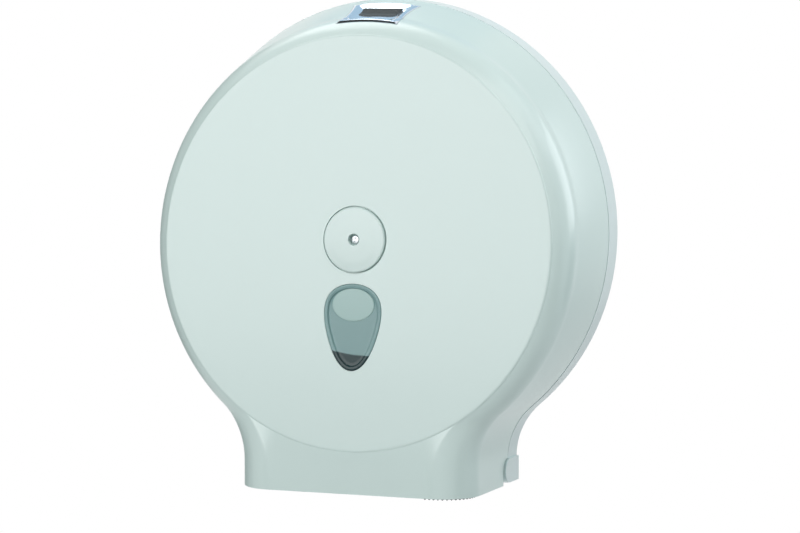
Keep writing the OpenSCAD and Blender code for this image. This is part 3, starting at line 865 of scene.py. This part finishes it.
    def openings(self) -> list[tuple[Array, list]]:
        """Makes the solids that open the skin: mouth, ears, bezel, window, cap and the cap's boss.

        Returns:
            Vertices and faces of each cutter.
        """
        f = self.form
        egg = f.egg(0.0, self.round_steps) - [0, f.egg_z]
        cap = disc_outline(f.cap_r + self.cap_gap, self.round_steps)
        return [self.mouth(), *self.ear_notches(), self.bezel_hole(),
                prism(egg, -self.beyond, self.beyond, f.on_face),
                prism(cap, -self.cap_depth, self.beyond, f.on_face),
                prism(disc_outline(self.boss_hole), *self.boss_span, f.on_face)]

    def build(self) -> bpy.types.Object:
        """Builds the cover and hangs it on its body.

        Returns:
            The cover object.
        """
        points, faces = self.skin()
        obj = make_object("cover_skin", points, faces)
        recalc(obj.data)
        carve(obj, self.openings(), 30.0)
        return finish_piece(obj, COVER, "cover", "cover_plastic", "cover_shell")


@dataclass
class CoverLugs:
    """The hinge lugs inside the cover: an arm to each pin and the bar that carries it. In millimetres."""

    form: Form = FORM
    lug_r: float = 7.5
    half: float = 5.0
    reach: float = 34.0
    bar_start: float = 15.0
    inner: float = 22.6
    arm_inset: float = 15.4
    bar_inset: float = 1.0
    round_steps: int = 33

    def build(self) -> list[bpy.types.Object]:
        """Builds the lugs on both sides: outlines of depth and height, extruded across.

        Returns:
            The lug objects.
        """
        f, h = self.form, self.half
        y, z = -f.pin_d, -f.pin_z
        a = np.radians(np.linspace(-90, 90, self.round_steps))
        rear = np.stack([y + self.lug_r * np.cos(a), z + self.lug_r * np.sin(a)], -1)
        arm = np.concatenate([rear, [[y - h, z + h], [y - self.reach, z + h], [y - self.reach, z - h],
                                     [y - h, z - h]]])
        bar = np.array([[y - self.reach, z - h], [y - self.bar_start, z - h],
                        [y - self.bar_start, z + h], [y - self.reach, z + h]])
        made = []
        for side, sign in (("left", -1.0), ("right", 1.0)):
            for part, shape, inset in (("arm", arm, self.arm_inset), ("bar", bar, self.bar_inset)):
                points, faces = prism(shape, f.neck_w - self.inner, f.neck_w - inset, sideways)
                obj = make_object(f"lug_{part}_{side}", points * [sign, 1, 1], faces)
                recalc(obj.data)
                made.append(finish_piece(obj, COVER, "cover", "cover_plastic"))
        return made


@dataclass
class Window:
    """The smoked window: a dished lens with a rounded rim and a plain raised oval."""

    form: Form = FORM
    n: int = 192
    oval_n: int = 96
    sharp: float = 40.0
    profile: tuple[tuple[float, float], ...] = (
        (-0.6, -4.7), (3.4, -4.7), (3.4, -2.95), (-0.25, -2.95), (-0.25, 0.0), (-0.35, 0.3), (-0.6, 0.46),
        (-1.0, 0.5), (-2.5, 0.46), (-2.85, 0.36), (-3.05, 0.1), (-3.25, -0.75), (-3.45, -1.0), (-3.8, -1.1),
        (-6.0, -1.1))
    oval_profile: tuple[tuple[float, float], ...] = (
        (0.0, -1.3), (0.0, -0.75), (-0.25, -0.58), (-0.6, -0.52), (-1.2, -0.5))
    oval_up: float = 15.6
    oval_height: float = 0.735

    def ring(self, grow: float, z: float) -> Array:
        """Makes one egg loop on the face.

        Args:
            grow: Offset of the outline.
            z: Height over the face.

        Returns:
            The loop in the row frame.
        """
        flat = self.form.egg(grow, self.n) - [0, self.form.egg_z]
        return self.form.on_face(np.column_stack([flat, np.full(self.n, z)]))

    def build(self) -> list[bpy.types.Object]:
        """Builds the lens and the oval from profiles of outline offset and height over the face.

        Returns:
            The window objects.
        """
        f = self.form
        loops = Loops([self.ring(*step) for step in self.profile])
        lens = make_object("window_lens", *loops.mesh(close=False, caps=(True, True)), self.sharp)
        recalc(lens.data)
        a = np.linspace(0, 2 * np.pi, self.oval_n, endpoint=False)
        rings = []
        for grow, z in self.oval_profile:
            across = (f.oval_w + grow) * np.cos(a)
            up = self.oval_up - f.egg_z + (f.oval_w * self.oval_height + grow) * np.sin(a)
            rings.append(f.on_face(np.stack([across, up, 0 * a + z], -1)))
        oval = make_object("window_oval", *Loops(rings).mesh(close=False, caps=(True, True)), self.sharp)
        recalc(oval.data)
        return [finish_piece(lens, SMOKED, "cover", "smoked_plastic", "window"),
                finish_piece(oval, FROSTED, "cover", "smoked_plastic")]


@dataclass
class Bezel:
    """The chrome bezel with its dished thumb rest.

    Heights over the drum are millimetres. The steep values say how fast the rim rises along u or v, and
    dish_across and dish_along are the dish's reach from the middle in u and v.
    """

    form: Form = FORM
    n: int = 120
    grid_ease: float = 0.6
    undercut: float = 0.9
    thickness: float = 1.4
    rise: float = 0.1
    rim: float = 0.7
    rim_steep: float = 9.0
    front_start: float = 0.75
    front_steep: float = 8.0
    lip: float = 0.8
    lip_share: float = 0.1
    dish: float = 3.2
    dish_across: float = 0.86
    dish_along: float = 0.46
    slot_span: tuple[float, float] = (120.0, 190.0)
    sharp: float = 40.0

    def lift(self, u: Array, v: Array) -> Array:
        """Gives the height of the chrome over the drum.

        A rim rises as a quarter sine from every edge, the front edge has a lip on it, and the dish is a
        product of two flat-bottomed fourth-power curves.

        Args:
            u: Place across, from -1 to 1.
            v: Place from the front (0) to the rear (1).

        Returns:
            The height.
        """
        side = np.clip((1 - np.abs(u)) * self.rim_steep, 0, 1)
        rear = np.clip((1 - v) * self.rim_steep, 0, 1)
        edge = np.minimum(np.minimum(side, self.front_start + v * self.front_steep), rear)
        rim = np.sin(np.pi / 2 * np.minimum(edge, 1))
        lip = self.lip * side * np.clip(1 - v / self.lip_share, 0, 1)
        across = np.maximum(0, 1 - (u / self.dish_across) ** 4)
        along = np.maximum(0, 1 - ((v - 0.5) / self.dish_along) ** 4)
        return self.rise + self.rim * rim + lip - self.dish * across * along

    def build(self) -> bpy.types.Object:
        """Builds the bezel and hangs it on the cover.

        Its points stand closer together near the edges, by a cosine mixed into the even steps.

        Returns:
            The bezel object.
        """
        f = self.form
        even = np.linspace(0, 1, self.n + 1)
        grid = mix(even, 0.5 - 0.5 * np.cos(np.pi * even), self.grid_ease)
        u, v = np.meshgrid(2 * grid - 1, grid)
        s = mix(f.bezel_s0, f.bezel_s1, v)
        lift = self.lift(u, v)
        top = f.drum_point(s, u * f.bezel_half(s), lift).reshape(-1, 3)
        low = f.drum_point(s, u * f.bezel_half(s), np.minimum(-f.wall, lift - self.thickness))
        low[0, :, 1] += self.undercut
        low = low.reshape(-1, 3)
        m = self.n + 1
        k = np.arange(m * m).reshape(m, m)
        quad = np.stack([k[:-1, :-1], k[:-1, 1:], k[1:, 1:], k[1:, :-1]], -1).reshape(-1, 4)
        rim = np.concatenate([k[0, :-1], k[:-1, -1], k[-1, :0:-1], k[:0:-1, 0]])
        nxt = np.roll(rim, -1)
        walls = np.stack([rim, rim + m * m, nxt + m * m, nxt], -1)
        faces = np.concatenate([quad, quad[:, ::-1] + m * m, walls]).tolist()
        obj = make_object("bezel_chrome", np.concatenate([top, low]), faces)
        recalc(obj.data)
        x, front, rear = f.slot_w, f.slot_y0, f.slot_y1
        slot = np.array([[-x, front], [x, front], [x, rear], [-x, rear]])
        carve(obj, [prism(slot, *self.slot_span, upright)], self.sharp)
        return finish_piece(obj, CHROME_AND_BLUE_SHEEN, "cover", "bright_chrome", "latch_bezel")


@dataclass
class ReturnSpring:
    """The latch's steel return spring."""

    turns: int = 6
    wire: float = 0.45
    press: float = 4.5
    steps: int = 240
    sides: int = 12
    sharp: float = 60.0

    def build(self) -> bpy.types.Object:
        """Winds a round wire, a circle about each point of a helix, from the housing's floor to the button.

        Returns:
            The spring object.
        """
        low, high = (np.array(corner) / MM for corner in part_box("latch_spring"))
        x, y = (low + high)[:2] / 2
        t = np.linspace(0, 1, self.steps + 1)[:, None]
        turn = 2 * np.pi * self.turns * t
        b = np.linspace(0, 2 * np.pi, self.sides, endpoint=False)
        reach = (high - low)[0] / 2 - self.wire + self.wire * np.cos(b)
        z = mix(low[2] + self.wire, high[2] - self.wire, t) + self.wire * np.sin(b)
        rings = np.stack([x + reach * np.cos(turn), y + reach * np.sin(turn), z], -1)
        wound = Loops(list(rings)).mesh(close=False, caps=(True, True))
        obj = make_object("return_spring", *wound, self.sharp)
        recalc(obj.data)
        finish_piece(obj, STEEL, "cover", "zinc_steel", "latch_spring")
        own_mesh(obj)
        return obj


def finish_piece(obj: bpy.types.Object, look: Finish, body: str, slot: str,
                 *nodes: str) -> bpy.types.Object:
    """Gives a piece its finish and its place in the frame.

    Args:
        obj: The piece.
        look: Its finish.
        body: CAD body that carries it.
        slot: Material slot in the record; not used.
        nodes: CAD nodes that it stands for.

    Returns:
        The same piece.
    """
    obj.data.materials.clear()
    obj.data.materials.append(material_for(look))
    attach(obj, body)
    if nodes:
        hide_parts(*nodes)
    log.info("%s rides on %s in %s", obj.name, body, look.name)
    return obj


def material_for(look: Finish) -> bpy.types.Material:
    """Finds or makes a finish's material.

    Args:
        look: The finish.

    Returns:
        The material.
    """
    return bpy.data.materials.get(look.name) or look.build()


def dress_frame() -> None:
    """Gives every CAD node that stays visible its own finish."""
    looks = {"plate_plastic": PLATE, "inner_plastic": INNER, "cover_plastic": COVER,
             "smoked_plastic": SMOKED, "bright_chrome": CHROME_AND_BLUE_SHEEN, "dark_plastic": DARK, "nylon": NYLON,
             "zinc_steel": STEEL}
    slots = {p["node"]: p["material_slot"] for p in frame["record"]["subparts"]}
    for name, obj in frame["nodes"].items():
        obj.data.materials.clear()
        obj.data.materials.append(material_for(looks[slots[name]]))


def heading(azimuth: float, elevation: float) -> Vector:
    """Turns two angles into the direction from the object to a card or the camera.

    Args:
        azimuth: Degrees to the right of the front.
        elevation: Degrees above the level.

    Returns:
        A unit vector.
    """
    a, e = math.radians(azimuth), math.radians(elevation)
    return Vector((math.sin(a) * math.cos(e), -math.cos(a) * math.cos(e), math.sin(e)))


class CardKind(Enum):
    """What a card of the studio does."""

    LIGHT = "light"
    MIRRORED = "mirrored"
    FLAG = "flag"


@dataclass(frozen=True)
class Card:
    """A soft light, a card that only reflections show, or a dark flag.

    Angles are degrees, lengths metres. Power is watts for a light and emission strength for a mirrored card.
    """

    name: str
    kind: CardKind
    azimuth: float
    elevation: float
    distance: float
    power: float
    colour: tuple[float, float, float] = (1.0, 1.0, 1.0)
    side: float = 1.3

    def stand(self, middle: tuple[float, float, float]) -> tuple[Vector, Matrix]:
        """Works out where the card stands and how it turns to the object.

        Args:
            middle: The point that the card faces.

        Returns:
            Its place in metres and its turn.
        """
        away = heading(self.azimuth, self.elevation)
        return Vector(middle) + away * self.distance, away.to_track_quat("Z", "Y").to_matrix()


@dataclass
class Studio:
    """Light, backdrop, floor and camera.

    Angles are degrees, a positive azimuth is to the right. Lengths are metres, except for the floor's size
    and level and the camera's lens and sensor, which are millimetres.
    """

    azimuth: float = 21.5
    elevation: float = 5.2
    distance: float = 2.6
    aim: tuple[float, float, float] = (0.0221, -0.060, -0.0203)
    lens: float = 168.2
    sensor: float = 36.0
    clip: tuple[float, float] = (0.1, 50.0)
    middle: tuple[float, float, float] = (0.0, -0.06, -0.02)
    even: float = 0.04
    even_colour: tuple[float, float, float] = (0.95, 0.98, 1.0)
    floor_half: float = 3000.0
    floor_level: float = -900.0
    floor_colour: tuple[float, float, float] = (0.8, 0.82, 0.82)
    floor_roughness: float = 0.8
    floor_seen: float = 0.55
    cards: tuple[Card, ...] = (
        Card("front_left", CardKind.LIGHT, -20, 17, 2.2, 21.5),
        Card("front_right", CardKind.LIGHT, 35, 45, 2.2, 14.0),
        Card("side_right", CardKind.LIGHT, 90, 50, 2.2, 8.5, (0.94, 0.98, 1.0)),
        Card("rear_right", CardKind.LIGHT, 120, 20, 2.2, 19.5, (0.92, 0.97, 1.0)),
        Card("rear_left", CardKind.LIGHT, -130, 60, 2.2, 15.5),
        Card("flag_left", CardKind.FLAG, -105, 5, 1.1, 0.0, (0.2, 0.24, 0.23)),
        Card("flag_right", CardKind.FLAG, 112, -6, 0.55, 0.0, (0.2, 0.24, 0.23), 0.2),
        Card("blue_rear", CardKind.MIRRORED, -160, 42, 3.0, 1.0, (0.47, 0.65, 0.78), 1.9),
        Card("dark_right", CardKind.MIRRORED, 66, -8, 2.4, 0.1, (0.8, 0.9, 0.85), 1.3),
        Card("dark_front", CardKind.MIRRORED, -21.5, -17, 2.4, 0.04, (0.8, 0.9, 0.85), 1.1),
    )

    def build(self) -> None:
        """Builds the whole studio."""
        self.world()
        self.floor()
        for card in self.cards:
            self.put(card)
        self.camera()

    def world(self) -> None:
        """Sets a soft even light all round, seen as white by the camera and in reflections."""
        world = bpy.data.worlds.new("studio")
        bpy.context.scene.world = world
        world.use_nodes = True
        tree = world.node_tree
        tree.nodes.clear()
        even = tree.nodes.new("ShaderNodeBackground")
        even.inputs["Color"].default_value = (*self.even_colour, 1)
        even.inputs["Strength"].default_value = self.even
        white = tree.nodes.new("ShaderNodeBackground")
        white.inputs["Color"].default_value = (1, 1, 1, 1)
        out = tree.nodes.new("ShaderNodeOutputWorld")
        blend = tree.nodes.new("ShaderNodeMixShader")
        tree.links.new(self.seen_mask(tree), blend.inputs["Fac"])
        tree.links.new(even.outputs[0], blend.inputs[1])
        tree.links.new(white.outputs[0], blend.inputs[2])
        tree.links.new(blend.outputs[0], out.inputs["Surface"])

    @staticmethod
    def seen_mask(tree: bpy.types.NodeTree) -> bpy.types.NodeSocket:
        """Tells rays that see the backdrop from rays that light the object.

        Args:
            tree: The node tree.

        Returns:
            A socket that is 1 for the camera, in reflections and through the window.
        """
        path = tree.nodes.new("ShaderNodeLightPath")
        mask = path.outputs["Is Camera Ray"]
        for name in ("Is Glossy Ray", "Is Transmission Ray"):
            either = math_node(tree, "MAXIMUM")
            tree.links.new(mask, either.inputs[0])
            tree.links.new(path.outputs[name], either.inputs[1])
            mask = either.outputs[0]
        return mask

    def floor(self) -> None:
        """Lays a plain pale floor well below the object, which keeps the object's shadow."""
        obj = make_object("floor", square(self.floor_half, self.floor_level), [[0, 1, 2, 3]], None)
        material = bpy.data.materials.new("floor_pale")
        material.use_nodes = True
        tree = material.node_tree
        shader = tree.nodes["Principled BSDF"]
        shader.inputs["Base Color"].default_value = (*self.floor_colour, 1)
        shader.inputs["Roughness"].default_value = self.floor_roughness
        shader.inputs["Emission Color"].default_value = (1, 1, 1, 1)
        pale = math_node(tree, "MULTIPLY", self.floor_seen)
        tree.links.new(self.seen_mask(tree), pale.inputs[0])
        tree.links.new(pale.outputs[0], shader.inputs["Emission Strength"])
        obj.data.materials.append(material)

    def put(self, card: Card) -> None:
        """Places one card, turned to the object.

        Args:
            card: The card.
        """
        place, turn = card.stand(self.middle)
        if card.kind is CardKind.LIGHT:
            data = bpy.data.lights.new(card.name, "AREA")
            data.shape, data.size = "SQUARE", card.side
            data.energy, data.color = card.power, card.colour
            obj = bpy.data.objects.new(card.name, data)
            obj.location, obj.rotation_mode = place, "QUATERNION"
            obj.rotation_quaternion = turn.to_quaternion()
            bpy.context.scene.collection.objects.link(obj)
            return
        points = square(card.side / 2 / MM) @ np.array(turn).T + np.array(place) / MM
        obj = make_object(card.name, points, [[0, 1, 2, 3]], None)
        material = bpy.data.materials.new(card.name)
        material.use_nodes = True
        shader = material.node_tree.nodes["Principled BSDF"]
        shader.inputs["Base Color"].default_value = (*card.colour, 1)
        shader.inputs["Roughness"].default_value = 1.0
        shader.inputs["Specular IOR Level"].default_value = 0.0
        if card.kind is CardKind.MIRRORED:
            shader.inputs["Base Color"].default_value = (0, 0, 0, 1)
            shader.inputs["Emission Color"].default_value = (*card.colour, 1)
            shader.inputs["Emission Strength"].default_value = card.power
            obj.visible_diffuse = obj.visible_transmission = obj.visible_shadow = False
        obj.data.materials.append(material)
        obj.visible_camera = False

    def camera(self) -> None:
        """Places the camera at the photograph's angle."""
        back = heading(self.azimuth, self.elevation)
        data = bpy.data.cameras.new("camera")
        data.lens, data.sensor_width = self.lens, self.sensor
        data.clip_start, data.clip_end = self.clip
        obj = bpy.data.objects.new("camera", data)
        obj.location = Vector(self.aim) + back * self.distance
        obj.rotation_mode = "QUATERNION"
        obj.rotation_quaternion = (-back).to_track_quat("-Z", "Y")
        bpy.context.scene.collection.objects.link(obj)
        bpy.context.scene.camera = obj


def main() -> None:
    """Builds the scene."""
    logging.basicConfig(level=logging.INFO, format="%(message)s")
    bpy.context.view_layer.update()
    dress_frame()
    Cover().build()
    CoverLugs().build()
    Window().build()
    Bezel().build()
    ReturnSpring().build()
    Studio().build()
    bpy.context.scene.view_settings.view_transform = "Standard"


if __name__ == "__main__":
    main()
